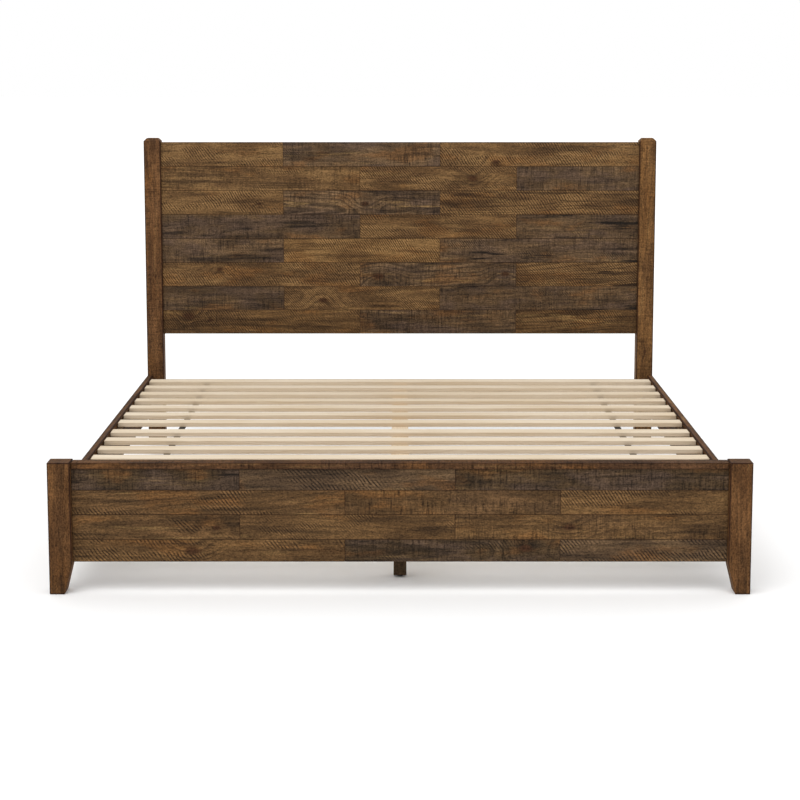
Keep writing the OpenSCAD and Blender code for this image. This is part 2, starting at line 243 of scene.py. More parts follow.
def ring_lines(tree, given, along, across, through, seed_place, knots=()):
    """The dark late-wood lines of a flat-sawn board, clearer and bent round its knots, and the
    knots' hearts. knots names the group's inputs that hold them."""
    warp = tree.minus(tree.noise(seed_place, (2.6, 9.0, 9.0), 2.0), 0.5)
    ripple = tree.minus(tree.noise(seed_place, (14.0, 60.0, 60.0), 2.0), 0.5)
    aside = tree.minus(across, given["Pith"])
    aside = tree.plus(aside, tree.times(warp, 0.05))
    depth = tree.plus(through, 0.035)
    ring = tree.vector("LENGTH", tree.joined(aside, depth, 0.0))
    ring = tree.plus(ring, tree.times(along, given["Tilt"]))
    ring = tree.plus(ring, tree.times(ripple, 0.004))
    heart = 0.0
    clear = given["Figure"]
    for knot in knots:
        near, bend, core = knot_fields(tree, along, across, given[knot], 4.5)
        ring = tree.plus(ring, tree.times(bend, 2.4))
        heart = tree.larger(heart, core)
        clear = tree.larger(clear, tree.times(near, 1.3), clamp=True)
    phase = tree.math("DIVIDE", ring, given["Ring pitch"])
    uneven = tree.add("ShaderNodeTexNoise", {"W": phase, "Scale": 0.9, "Detail": 1.0},
                      noise_dimensions="1D").outputs[0]
    phase = tree.plus(phase, tree.times(uneven, 1.6))
    share = tree.math("FRACT", phase)
    rise = tree.ramp(share, 0.25, 0.85)
    fall = tree.ramp(share, 0.86, 1.0, 1.0, 0.0)
    return tree.times(tree.times(rise, fall), clear), heart


def arris_distance(tree, given, place):
    """How far a point of a bar's surface is from the nearest arris: the middle one of its
    distances from the three pairs of faces, because it lies on one of them."""
    gaps = tree.parts(tree.vector("SUBTRACT", given["Half"], tree.vector("ABSOLUTE", place)))
    low = tree.math("MINIMUM", gaps[0], gaps[1])
    high = tree.larger(gaps[0], gaps[1])
    return tree.larger(low, tree.math("MINIMUM", high, gaps[2]))


def saw_marks(tree, given, along, across, seeded):
    """Diagonal marks of a circular saw, in patches, and upright ones that vary along the board: their
    dark troughs, and their crests and ridges as the mask of a painted highlight.
    """
    wobble = tree.noise(seeded, (11.0, 16.0, 16.0), 2.0)
    slanted = tree.plus(along, tree.times(across, given["Slant"]))
    turns = tree.plus(tree.math("DIVIDE", slanted, given["Saw pitch"]), tree.times(wobble, 2.2))
    wave = tree.math("SINE", tree.times(turns, 2 * math.pi))
    spread = tree.times(given["Hatch"], 0.30)  # more saw marks also reach further
    patch = tree.noise(seeded, (5.0, 19.0, 19.0), 2.0)
    patch = tree.ramp(tree.plus(patch, spread), 0.60, 0.76)
    broken = tree.ramp(tree.noise(seeded, (60.0, 110.0, 110.0), 3.0, 0.6), 0.34, 0.54, 0.15, 1.0)
    any_hatch = tree.times(given["Hatch"], 8.0, clamp=True)
    hatch = tree.times(tree.times(patch, broken), any_hatch)
    upright = tree.noise(seeded, (165.0, 16.0, 16.0), 3.0, 0.75)
    saw_patch = tree.ramp(tree.noise(seeded, (3.4, 13.0, 13.0), 2.0), 0.32, 0.55, 0.25, 1.0)
    saw = tree.times(saw_patch, given["Saw"])
    troughs = tree.times(tree.ramp(wave, 0.1, 0.8), hatch)
    cuts = tree.times(tree.ramp(upright, 0.50, 0.68, 0.0, 0.85), saw)
    # Crests of the diagonal marks and ridges of the upright ones: where the painted highlight goes.
    crest_highlight = tree.times(tree.ramp(wave, 0.0, -0.9), hatch)
    ridge_highlight = tree.times(tree.ramp(upright, 0.48, 0.34), saw)
    return (tree.larger(troughs, cuts, clamp=True),
            tree.larger(crest_highlight, ridge_highlight, clamp=True))


def sawn_plank_group():
    """Stained, rough-sawn softwood: growth rings, streaks, weathering, knots and saw marks, with a
    painted highlight on the saw marks' crests.
    """
    tree, given, out = new_group(
        "sawn plank",
        [("Vector", "Vector", None), ("Half", "Vector", (0.3, 0.047, 0.011)),
         ("Seed", "Vector", None), ("Light", "Color", None), ("Body", "Color", None),
         ("Dark", "Color", None), ("Hatch", "Float", 0.5), ("Slant", "Float", 0.55),
         ("Saw", "Float", 0.3), ("Saw pitch", "Float", 0.01), ("Grey", "Float", 0.3),
         ("Streaks", "Float", 0.5), ("Figure", "Float", 0.5), ("Pith", "Float", 0.0),
         ("Tilt", "Float", 0.03), ("Ring pitch", "Float", 0.012), ("Knot 1", "Vector", None),
         ("Knot 2", "Vector", None), ("Rim", "Float", 0.002), ("Rim strength", "Float", 0.5)],
        [("Color", "Color"), ("Roughness", "Float"), ("Height", "Float")])
    place = given["Vector"]
    along, across, through = tree.parts(place)
    seeded = tree.vector("ADD", place, given["Seed"])

    late, heart = ring_lines(tree, given, along, across, through, seeded, ("Knot 1", "Knot 2"))
    fibre = tree.noise(seeded, (40.0, 900.0, 900.0), 3.0, 0.6)
    vein = tree.noise(seeded, (12.0, 210.0, 210.0), 3.0, 0.6)
    fleck = tree.noise(seeded, (80.0, 290.0, 290.0), 2.0, 0.6)
    speckle = tree.noise(seeded, (190.0, 230.0, 230.0), 3.0, 0.65)
    streak = tree.noise(seeded, (3.4, 48.0, 48.0), 4.0, 0.65)
    cloud = tree.noise(seeded, (5.5, 15.0, 15.0), 3.0, 0.55)
    stain = tree.noise(seeded, (2.6, 30.0, 30.0), 4.0, 0.65)
    broad = tree.noise(seeded, (4.2, 12.0, 12.0), 3.0, 0.6)

    colour = tree.mix(tree.ramp(cloud, 0.36, 0.64), given["Body"], given["Light"])
    rust = tree.times(tree.ramp(broad, 0.46, 0.34), 0.40)
    colour = tree.mix(rust, colour, RUSTY)
    grey = tree.times(tree.ramp(broad, 0.46, 0.62), given["Grey"])
    colour = tree.mix(tree.times(grey, 0.6), colour, GREYED)
    colour = tree.mix(tree.times(tree.ramp(streak, 0.48, 0.70), 0.55), colour,
                      given["Dark"])
    colour = tree.mix(tree.times(late, 0.62), colour, given["Dark"])
    weathered = tree.times(tree.ramp(stain, 0.54, 0.66), given["Streaks"])
    colour = tree.mix(tree.times(weathered, 0.85), colour, given["Dark"])
    pale = tree.times(tree.ramp(streak, 0.42, 0.30), given["Figure"])
    colour = tree.mix(tree.times(pale, 0.45), colour, PALE)
    colour = tree.mix(tree.times(heart, 0.85), colour, KNOTTED)

    troughs, crest_highlight = saw_marks(tree, given, along, across, seeded)
    colour = tree.mix(tree.times(troughs, 0.86), colour, given["Dark"])

    # Darker stain along the arrises; the cap's wider, stronger rim is also painted shade of the shadow
    # line under its overhang.
    rim = tree.ramp(arris_distance(tree, given, place), 0.0003, given["Rim"], 1.0, 0.0)
    colour = tree.mix(tree.times(rim, given["Rim strength"]), colour, ARRIS_STAIN_AND_SHADE)

    # Fine light and dark: fibres, pores and the fuzz of a sawn face, and a painted highlight on the saw
    # marks' crests and ridges.
    light = 1.0
    for value, weight in ((fibre, 0.40), (vein, 0.95), (fleck, 1.60), (speckle, 2.30)):
        light = tree.plus(light, tree.times(tree.minus(value, 0.5), weight))
    # Painted highlight on the crests and ridges of the saw marks.
    light = tree.plus(light, tree.times(crest_highlight, 0.38))
    colour = tree.shaded(colour, light)

    height = tree.times(fibre, 0.25)
    height = tree.plus(height, tree.times(fleck, 0.45))
    height = tree.minus(height, tree.times(troughs, 0.60))
    height = tree.minus(height, tree.times(late, 0.20))
    rough = tree.plus(0.55, tree.times(fibre, 0.18))
    rough = tree.plus(rough, tree.times(troughs, 0.16))
    for name, value in (("Color", colour), ("Roughness", rough), ("Height", height)):
        tree.link(value, out[name])


def pine_group():
    """Planed pale pine: soft rings, fine fibres, a few specks, and the upright sides a little darker as
    painted shade.
    """
    tree, given, out = new_group(
        "planed pine",
        [("Vector", "Vector", None), ("Half", "Vector", None), ("Seed", "Vector", None),
         ("Light", "Color", None), ("Body", "Color", None), ("Dark", "Color", None),
         ("Figure", "Float", 0.5), ("Pith", "Float", 0.0), ("Tilt", "Float", 0.01),
         ("Ring pitch", "Float", 0.008)],
        [("Color", "Color"), ("Roughness", "Float"), ("Height", "Float")])
    place = given["Vector"]
    along, across, through = tree.parts(place)
    seeded = tree.vector("ADD", place, given["Seed"])
    late, _ = ring_lines(tree, given, along, across, through, seeded)
    fibre = tree.noise(seeded, (24.0, 900.0, 900.0), 3.0, 0.6)
    vein = tree.noise(seeded, (5.0, 150.0, 150.0), 3.0, 0.6)
    cloud = tree.noise(seeded, (2.2, 9.0, 9.0), 2.0)
    speck = tree.noise(seeded, (60.0, 220.0, 220.0), 1.0)

    colour = tree.mix(tree.ramp(cloud, 0.34, 0.66), given["Body"], given["Light"])
    colour = tree.mix(tree.times(late, 0.34), colour, given["Dark"])
    colour = tree.mix(tree.times(tree.ramp(vein, 0.50, 0.78), 0.22), colour, given["Dark"])
    colour = tree.mix(tree.ramp(speck, 0.78, 0.84, 0.0, 0.5), colour, given["Dark"])
    gaps = tree.parts(tree.vector("SUBTRACT", given["Half"], tree.vector("ABSOLUTE", place)))
    # Painted shade: the upright sides are made a little darker than the top.
    painted_side_shade = tree.ramp(gaps[2], 0.0004, 0.0016, 0.30, 0.0)
    colour = tree.mix(painted_side_shade, colour, given["Dark"])
    light = tree.plus(0.93, tree.times(fibre, 0.14))
    colour = tree.shaded(colour, light)

    height = tree.plus(tree.times(fibre, 0.5), tree.times(late, 0.35))
    rough = tree.plus(0.52, tree.times(fibre, 0.16))
    for name, value in (("Color", colour), ("Roughness", rough), ("Height", height)):
        tree.link(value, out[name])


# ---------------------------------------------------------------- materials

AXES = {"x": (0, 2, 1), "y": (1, 2, 0), "z": (2, 0, 1)}  # along, across and through, by grain


def new_material(name):
    """A material, the short names for its node tree, and its shader."""
    material = bpy.data.materials.new(name)
    material.use_nodes = True
    return material, Tree(material.node_tree), material.node_tree.nodes["Principled BSDF"]


def unit(axis):
    """The unit vector along an axis, as three numbers."""
    return tuple(1.0 if i == axis else 0.0 for i in range(3))


def in_grain(vector, grain):
    """A vector's parts along the grain, across it and through it."""
    return Vector([vector[axis] for axis in AXES[grain]])


def grained_material(name, group, lo, hi, grain, rng, bump, values):
    """A wood material for one bar, from its box and the group that draws it."""
    material, tree, shader = new_material(name)
    along, across, through = AXES[grain]
    place = tree.add("ShaderNodeGroup", node_tree=bpy.data.node_groups["grain coordinates"])
    for key, axis in (("Along", along), ("Across", across), ("Through", through)):
        place.inputs[key].default_value = unit(axis)
    place.inputs["Centre"].default_value = (lo + hi) / 2
    wood = tree.add("ShaderNodeGroup", {"Vector": place.outputs[0]}, node_tree=group)
    wood.inputs["Half"].default_value = in_grain((hi - lo) / 2, grain)
    wood.inputs["Seed"].default_value = [rng.uniform(-9, 9) for _ in range(3)]
    for key, value in values.items():
        wood.inputs[key].default_value = value
    dent = tree.add("ShaderNodeBump", {"Strength": 0.7, "Distance": bump,
                                       "Height": wood.outputs["Height"]})
    tree.link(wood.outputs["Color"], shader.inputs["Base Color"])
    tree.link(wood.outputs["Roughness"], shader.inputs["Roughness"])
    tree.link(dent.outputs[0], shader.inputs["Normal"])
    shader.inputs["Specular IOR Level"].default_value = 0.06
    return material


NO_KNOT = Vector((0, 9, 0.0001))  # tiny, and far outside every board


def plank_material(name, board, lo, hi, grain, rng, rim):
    """A stained plank's own material, with its tone, saw marks, rings and knots."""
    light, body, dark = TONES[board.tone]
    half = in_grain((hi - lo) / 2, grain)
    knots = [Vector(((2 * along - 1) * half[0], (2 * up - 1) * half[1], radius))
             for along, up, radius in board.knots]
    knots += [NO_KNOT] * (2 - len(knots))
    return grained_material(name, bpy.data.node_groups["sawn plank"], lo, hi, grain, rng, 0.0011, {
        "Light": light, "Body": body, "Dark": dark, "Hatch": board.hatch, "Saw": board.saw,
        "Grey": board.saw * (1.0 if board.tone in GREY_TONES else 0.2),
        "Streaks": board.streaks, "Figure": board.figure,
        "Slant": rng.uniform(0.70, 0.95), "Saw pitch": rng.uniform(0.0090, 0.0115),
        "Pith": rng.uniform(-1.6, 1.6) * half[1],
        "Tilt": rng.choice((-1, 1)) * rng.uniform(0.02, 0.07),
        "Ring pitch": rng.uniform(0.010, 0.016), "Knot 1": knots[0], "Knot 2": knots[1],
        "Rim": rim[0], "Rim strength": rim[1]})


def pine_material(name, lo, hi, grain, rng):
    """The material of one pine bar, with its own rings."""
    half = in_grain((hi - lo) / 2, grain)
    return grained_material(name, bpy.data.node_groups["planed pine"], lo, hi, grain, rng, 0.0004, {
        "Light": srgb(222, 208, 186), "Body": srgb(212, 195, 169), "Dark": srgb(166, 134, 98),
        "Figure": rng.uniform(0.3, 0.8), "Pith": rng.uniform(-3, 3) * half[1],
        "Tilt": rng.uniform(-0.02, 0.02), "Ring pitch": rng.uniform(0.006, 0.010)})


def plain_material(name, colour, roughness, metallic=0.0):
    """A material for steel, nylon or a dowel: small speckle in its colour and gloss."""
    grain_scale, spread = 400.0, 0.12
    material, tree, shader = new_material(name)
    place = tree.add("ShaderNodeTexCoord").outputs["Object"]
    fine = tree.noise(place, (grain_scale,) * 3, 3.0, 0.6)
    broad = tree.noise(place, (grain_scale / 12,) * 3, 2.0)
    light = tree.plus(1 - spread, tree.times(broad, 2 * spread))
    colour_out = tree.shaded(colour, light)
    rough = tree.plus(roughness - 0.08, tree.times(fine, 0.16))
    dent = tree.add("ShaderNodeBump", {"Strength": 0.4, "Distance": 0.0002, "Height": fine})
    tree.link(colour_out, shader.inputs["Base Color"])
    tree.link(rough, shader.inputs["Roughness"])
    tree.link(dent.outputs[0], shader.inputs["Normal"])
    shader.inputs["Metallic"].default_value = metallic
    return material


# ---------------------------------------------------------------- meshes

CORNER_STEPS = 3  # faces round each arris
TURNED_FACETS, FASTENER_FACETS = 48, 24
DRILL_FACETS = 37  # odd, so that no point of a hole falls on a mesh line of the bar


def placed(name, data):
    """A new object of the scene that holds this data."""
    obj = bpy.data.objects.new(name, data)
    bpy.context.scene.collection.objects.link(obj)
    return obj


def solid_mesh(name, verts, faces):
    """A mesh from its points and faces."""
    mesh = bpy.data.meshes.new(name)
    mesh.from_pydata(verts, [], faces)
    return mesh


def round_profile(half_v, half_w, radius, face_step):
    """Points round a rectangle with rounded corners, with more points along its longer faces.

    Each is (v, w, nv, nw): its place and the outward direction there."""
    points = []
    for corner in range(4):
        sign_v, sign_w = ((1, 1), (-1, 1), (-1, -1), (1, -1))[corner]
        for step in range(CORNER_STEPS + 1):
            angle = math.pi / 2 * (corner + step / CORNER_STEPS)
            nv, nw = math.cos(angle), math.sin(angle)
            points.append((sign_v * (half_v - radius) + radius * nv,
                           sign_w * (half_w - radius) + radius * nw, nv, nw))
        v0, w0, nv, nw = points[-1]
        next_sign = ((-1, 1), (-1, -1), (1, -1), (1, 1))[corner]
        v1 = next_sign[0] * (half_v - radius) + radius * nv
        w1 = next_sign[1] * (half_w - radius) + radius * nw
        cuts = max(1, round(math.hypot(v1 - v0, w1 - w0) / face_step))
        points += [(v0 + (v1 - v0) * i / cuts, w0 + (w1 - w0) * i / cuts, nv, nw)
                   for i in range(1, cuts)]
    return points


def rounded_end(radius):
    """Rings of a rounded end: (distance from the end, inset), from the end inwards."""
    steps = [math.pi / 2 * i / CORNER_STEPS for i in range(CORNER_STEPS + 1)]
    return [(radius * (1 - math.sin(a)), radius * (1 - math.cos(a))) for a in reversed(steps)]


def bevelled_end(bevel, radius):
    """Rings of an end with a flat bevel and small rounded arrises, from the end inwards."""
    return [(0.0, bevel), (radius * 0.3, bevel - radius * 0.7), (bevel - radius * 0.7, radius * 0.3),
            (bevel + radius * 0.4, 0.0)]


def bar_rings(half_u, low_end, high_end, step):
    """Where a bar's rings of points lie along it, each with its inset from the bar's faces."""
    rings = [(-half_u + d, inset) for d, inset in low_end]
    inner_lo, inner_hi = rings[-1][0], half_u - high_end[-1][0]
    count = max(1, round((inner_hi - inner_lo) / step))
    rings += [(inner_lo + (inner_hi - inner_lo) * i / count, 0.0) for i in range(1, count)]
    return rings + [(half_u - d, inset) for d, inset in reversed(high_end)]


def worn(u, v, w, nv, nw, shift):
    """How deep wear goes at a point, from 0 to about 1: long waves, and chips on the arrises."""
    wave = noise.noise(Vector((u * 9, v * 22, w * 22)) + shift)
    chip = noise.noise(Vector((u * 55, v * 90, w * 90)) + shift)
    arris = 4 * (nv * nw) ** 2
    return (0.5 + 0.5 * wave) * 0.45 + arris * max(0.0, 0.3 + chip)


def bar_mesh(name, lo, hi, grain, radius, wear, step, rng, ends=None, shape=None):
    """A solid bar that fills a box: rounded arrises, and faces and edges a little uneven.

    wear is how far the surface may lie inside the box, and shape may move each point's v and w."""
    along, across, through = AXES[grain]
    half, centre = (hi - lo) / 2, (lo + hi) / 2
    half_u, half_v, half_w = half[along], half[across], half[through]
    profile = round_profile(half_v, half_w, radius, step)
    low_end, high_end = ends or (rounded_end(radius), rounded_end(radius))
    rings = bar_rings(half_u, low_end, high_end, step)
    shift = Vector([rng.uniform(0, 50) for _ in range(3)])
    verts = []
    for u, inset in rings:
        for v, w, nv, nw in profile:
            dig = wear * worn(u, v, w, nv, nw, shift)
            v2 = v * (half_v - inset) / half_v - nv * dig
            w2 = w * (half_w - inset) / half_w - nw * dig
            if shape:
                v2, w2 = shape(u + half_u, v2, w2)
            point = [0.0, 0.0, 0.0]
            point[along], point[across], point[through] = u, v2, w2
            verts.append(centre + Vector(point))
    size = len(profile)
    faces = [(r * size + i, r * size + (i + 1) % size, (r + 1) * size + (i + 1) % size,
              (r + 1) * size + i) for r in range(len(rings) - 1) for i in range(size)]
    faces += [tuple(reversed(range(size))), tuple(range((len(rings) - 1) * size, len(rings) * size))]
    return solid_mesh(name, verts, faces)


def lathe(profile, turns=TURNED_FACETS):
    """Rings of points turned about Z from (radius, height) pairs, and the faces between them.

    A radius may be a function of the angle. The first and the last ring are closed by a face."""
    verts, faces = [], []
    for radius, height in profile:
        for i in range(turns):
            angle = 2 * math.pi * i / turns
            reach = radius(angle) if callable(radius) else radius
            verts.append(Vector((reach * math.cos(angle), reach * math.sin(angle), height)))
    for ring in range(len(profile) - 1):
        low, high = ring * turns, (ring + 1) * turns
        faces += [(low + i, low + (i + 1) % turns, high + (i + 1) % turns, high + i)
                  for i in range(turns)]
    faces += [tuple(reversed(range(turns))), tuple(range(len(verts) - turns, len(verts)))]
    return verts, faces


def drilled(mesh, holes):
    """The mesh with round holes cut in it: (mouth, direction inwards, radius, depth) for each."""
    clear = 0.001  # how far the drill stands out of the face
    verts, faces = [], []
    for mouth, inwards, radius, depth in holes:
        turn = Vector(inwards).to_track_quat("Z", "Y")
        points, sides = lathe([(radius, -clear), (radius, depth)], DRILL_FACETS)
        faces += [tuple(i + len(verts) for i in side) for side in sides]
        verts += [Vector(mouth) + turn @ point for point in points]
    drill = solid_mesh("drill", verts, faces)
    for part in (mesh, drill):
        outward(part)
    block, tool = placed("block", mesh), placed("tool", drill)
    cut = block.modifiers.new("cut", "BOOLEAN")
    cut.object, cut.operation, cut.solver = tool, "DIFFERENCE", "EXACT"
    seen = block.evaluated_get(bpy.context.evaluated_depsgraph_get())
    result = bpy.data.meshes.new_from_object(seen)
    for obj in (block, tool):
        bpy.data.objects.remove(obj)
    return result


def outward(mesh):
    """Turns the mesh's faces outwards if its volume comes out negative."""
    mesh.calc_loop_triangles()
    points = [v.co for v in mesh.vertices]
    volume = sum(points[a].dot(points[b].cross(points[c]))
                 for a, b, c in (t.vertices for t in mesh.loop_triangles))
    if volume < 0:
        mesh.flip_normals()
    mesh.update()


def piece(name, mesh, material, nodes, body="frame"):
    """A finished piece: its object, its material, the body that it rides on and what it replaces."""
    outward(mesh)
    obj = placed(name, mesh)
    mesh.materials.append(material)
    for face in mesh.polygons:
        face.use_smooth = True
    mesh.set_sharp_from_angle(angle=math.radians(40))
    weighted = obj.modifiers.new("face weighted normals", "WEIGHTED_NORMAL")
    weighted.keep_sharp = True
    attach(obj, body)
    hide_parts(*nodes)
    return obj


# Width and strength of the darker stain along the arrises. The cap's is also painted shade of the
# shadow line under its overhang.
PLANK_RIM, CAP_RIM_AND_SHADE, EDGED_RIM = (0.0022, 0.5), (0.0040, 0.7), (0.0060, 0.95)
STAINED_WEAR = 0.0005  # how far a stained face may lie inside its box
PINE_WEAR, PINE_ARRIS, PINE_STEP = 0.0002, 0.0009, 0.030  # wear, arris radius, spacing of points
POST_ARRIS = 0.002  # the radius of the posts' and the cap's arrises
# Radius and depth of the holes that show: under a ledge screw's head, for a levelling stem and its
# insert, and round a leg bolt's head.
LEDGE_SCREW_HOLE, STEM_HOLE, LEG_BOLT_HOLE = (0.0041, 0.0031), (0.0061, 0.045), (0.0066, 0.0052)


def stained_bar(name, board, lo, hi, grain, nodes, radius=0.0007, step=0.022, rim=PLANK_RIM,
                holes=(), **more):
    """A stained piece that fills a box. more is bar_mesh's ends and shape."""
    rng = random.Random(name)
    mesh = bar_mesh(name, lo, hi, grain, radius, STAINED_WEAR, step, rng, **more)
    if holes:
        mesh = drilled(mesh, holes)
    return piece(name, mesh, plank_material(name, board, lo, hi, grain, rng, rim), nodes)


def pine_bar(name, lo, hi, grain, nodes, holes=()):
    """A pine piece that fills a box."""
    rng = random.Random(name)
    mesh = bar_mesh(name, lo, hi, grain, PINE_ARRIS, PINE_WEAR, PINE_STEP, rng)
    if holes:
        mesh = drilled(mesh, holes)
    return piece(name, mesh, pine_material(name, lo, hi, grain, rng), nodes)


# ---------------------------------------------------------------- the object's pieces


def solids(node):
    """The boxes of a node's separate solids, sorted from left to right."""
    mesh = frame["nodes"][node].data
    parent = list(range(len(mesh.vertices)))

    def root(i):
        while parent[i] != i:
            parent[i] = parent[parent[i]]
            i = parent[i]
        return i

    for edge in mesh.edges:
        a, b = (root(i) for i in edge.vertices)
        parent[a] = b
    places = {}
    for vertex in mesh.vertices:
        key = tuple(round(c, 6) for c in vertex.co)
        first = places.setdefault(key, vertex.index)
        parent[root(vertex.index)] = root(first)
    groups = {}
    for vertex in mesh.vertices:
        groups.setdefault(root(vertex.index), []).append(vertex.co)
    boxes = [(Vector([min(p[k] for p in points) for k in range(3)]),
              Vector([max(p[k] for p in points) for k in range(3)])) for points in groups.values()]
    return sorted(boxes, key=lambda box: tuple(round(c, 4) for c in box[0]))


def plank_rows(prefix, rows):
    """A panel's planks, row by row from the top, three to a row."""
    for row, boards in enumerate(rows, 1):
        node = f"{prefix}_boards_row_{row}"
        for board, (lo, hi), place in zip(boards, solids(node), ("left", "middle", "right")):
            stained_bar(f"{prefix}_plank_{row}_{place}", board, lo, hi, "x", [node])


def headboard_posts():
    """Two square posts, their tops bevelled all round."""
    bevel = 0.012
    for side, board in (("left", Board("russet", 0.0, 0.6, 0.5, 0.3, ((0.55, 0.6, 0.006),))),
                        ("right", Board("amber", 0.0, 0.6, 0.3, 0.5, ((0.3, 0.5, 0.006),)))):
        node = f"headboard_post_{side}"
        lo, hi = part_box(node)
        stained_bar(node + "_wood", board, lo, hi, "z", [node], radius=POST_ARRIS, rim=EDGED_RIM,
                    ends=(rounded_end(POST_ARRIS), bevelled_end(bevel, POST_ARRIS)))


def tapered(sign, width):
    """A shape for bar_mesh that draws a post's inner side in towards the floor.

    sign is 1 on the left post and -1 on the right one."""
    taper, taper_h = 0.022, 0.088

    def shape(height, v, w):
        cut = taper * max(0.0, 1 - height / taper_h)
        inner_share = 0.5 + sign * v / width
        return v - sign * cut * inner_share, w

    return shape


def footboard_posts():
    """Two square posts, their inner sides tapered at the floor."""
    for side, sign, board in (("left", 1, Board("chestnut", 0.0, 0.25, 0.35, 0.3)),
                              ("right", -1, Board("chestnut", 0.0, 0.25, 0.3, 0.4))):
        node = f"footboard_post_{side}"
        lo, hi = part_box(node)
        stained_bar(node + "_wood", board, lo, hi, "z", [node], radius=POST_ARRIS, step=0.011,
                    rim=EDGED_RIM, shape=tapered(sign, hi.x - lo.x))


def footboard_cap():
    """The darker board along the top of the footboard."""
    lo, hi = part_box("footboard_cap")
    board = Board("walnut", 0.0, 0.8, 0.5, 0.3)
    # Its wide, dark rim is partly painted shade of the shadow line under the cap.
    stained_bar("footboard_cap_wood", board, lo, hi, "x", ["footboard_cap"], radius=POST_ARRIS,
                rim=CAP_RIM_AND_SHADE)


def side_rails():
    """The two rails, and the ledges on them with their screws let in."""
    boards = {"side_rail_left": Board("russet", 0.6, 0.2, 0.6, 0.6, ((0.3, 0.6, 0.014),)),
              "side_rail_right": Board("russet", 0.5, 0.3, 0.6, 0.7, ((0.66, 0.4, 0.012),)),
              "slat_ledge_left": Board("umber", 0.0, 0.3, 0.5, 0.4),
              "slat_ledge_right": Board("umber", 0.0, 0.3, 0.5, 0.4)}
    screws = [(lo + hi) / 2 for lo, hi in solids("ledge_screws")]
    for node, board in boards.items():
        lo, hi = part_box(node)
        holes = []
        if "ledge" in node:
            side = math.copysign(1, lo.x)
            mouth = min(abs(lo.x), abs(hi.x)) * side
            holes = [((mouth, at.y, at.z), (side, 0, 0), *LEDGE_SCREW_HOLE)
                     for at in screws if at.x * side > 0]
        stained_bar(node + "_wood", board, lo, hi, "y", [node], step=0.028, rim=EDGED_RIM,
                    holes=holes)


def lower_rail():
    """The rail between the headboard's posts, which carries the centre beam's end."""
    lo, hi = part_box("headboard_lower_rail")
    board = Board("brown", 0.5, 0.3, 0.6, 0.5)
    stained_bar("headboard_lower_rail_wood", board, lo, hi, "x", ["headboard_lower_rail"])


def centre_legs():
    """Three square legs, bored from below for their levelling stems."""
    for place in ("foot", "middle", "head"):
        node = f"centre_leg_{place}"
        lo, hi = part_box(node)
        foot = ((lo.x + hi.x) / 2, (lo.y + hi.y) / 2, lo.z)
        stained_bar(node + "_wood", Board("slate", 0.0, 0.3, 0.4, 0.4), lo, hi, "z", [node],
                    step=0.012, holes=[(foot, (0, 0, 1), *STEM_HOLE)])


def pine_parts():
    """Fourteen slats, and the centre beam with the holes for its leg bolts."""
    for n in range(1, 15):
        node = f"slat_{n:02d}"
        lo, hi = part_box(node)
        pine_bar(node + "_wood", lo, hi, "x", [node])
    lo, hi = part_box("centre_beam")
    bolts = [(lo + hi) / 2 for lo, hi in solids("leg_bolts")]
    holes = [((at.x, at.y, hi.z), (0, 0, -1), *LEG_BOLT_HOLE) for at in bolts]
    pine_bar("centre_beam_wood", lo, hi, "y", ["centre_beam"], holes=holes)


def hex_drive(size):
    """The outline of a hexagonal socket, size from its centre to a flat."""
    return lambda angle: size / math.cos((angle + math.pi / 6) % (math.pi / 3) - math.pi / 6)


def cross_drive(size):
    """The outline of a cross recess, size from its centre to the end of an arm."""
    return lambda angle: size * (0.34 + 0.66 * abs(math.cos(2 * angle)) ** 5)


# drive is the recess's outline and depth is how deep it goes.
Fastener = namedtuple("Fastener", "head_r head_h shank_r drive depth")
SCREW = Fastener(0.0040, 0.0020, 0.0020, cross_drive(0.0024), 0.0013)
SUNK_SCREW = Fastener(0.0040, 0.0030, 0.0020, cross_drive(0.0024), 0.0018)
BOLT = Fastener(0.0065, 0.0040, 0.0040, hex_drive(0.0025), 0.0026)


def fastener_profile(kind, length):
    """A screw or bolt along Z with the top of its head at 0, from its recess to its tip."""
    crown = min(0.0006, kind.head_h / 3)
    chamfer, chamfer_h = 0.0008, 0.001
    return [(lambda angle: 0.8 * kind.drive(angle), -kind.depth), (kind.drive, -crown / 4),
            (kind.head_r - 1.6 * crown, 0.0), (kind.head_r - 0.5 * crown, -crown / 3),
            (kind.head_r, -crown), (kind.head_r, -kind.head_h), (kind.shank_r, -kind.head_h),
            (kind.shank_r, -length + chamfer_h), (kind.shank_r - chamfer, -length)]


def to_middle(axis):
    """Which way along an axis the bed's middle lies from a place."""
    return lambda centre: -math.copysign(1, centre[axis])


def upwards(_):
    """Up, wherever the bolt is."""
    return 1.0


def fasteners(node, axis, towards, kind, material):
    """All screws or bolts of one CAD node. towards says which way a head faces, from its centre."""
    verts, faces = [], []
    for lo, hi in solids(node):
        centre = (lo + hi) / 2
        way = Vector([towards(centre) if i == axis else 0.0 for i in range(3)])
        top = centre + way * (hi[axis] - lo[axis]) / 2
        turn = way.to_track_quat("Z", "Y")
        points, sides = lathe(fastener_profile(kind, hi[axis] - lo[axis]), FASTENER_FACETS)
        faces += [tuple(i + len(verts) for i in side) for side in sides]
        verts += [top + turn @ point for point in points]
    piece(node + "_steel", solid_mesh(node, verts, faces), material, [node])


def all_fasteners(steel):
    """The heads of screws and bolts face the bed's middle, and the leg bolts' heads face up."""
    fasteners("bracket_screws", 0, to_middle(0), SCREW, steel)
    fasteners("hanger_screws", 1, to_middle(1), SCREW, steel)
    fasteners("ledge_screws", 0, to_middle(0), SUNK_SCREW, steel)
    fasteners("bracket_bolts", 1, to_middle(1), BOLT, steel)
    fasteners("leg_bolts", 2, upwards, BOLT, steel)


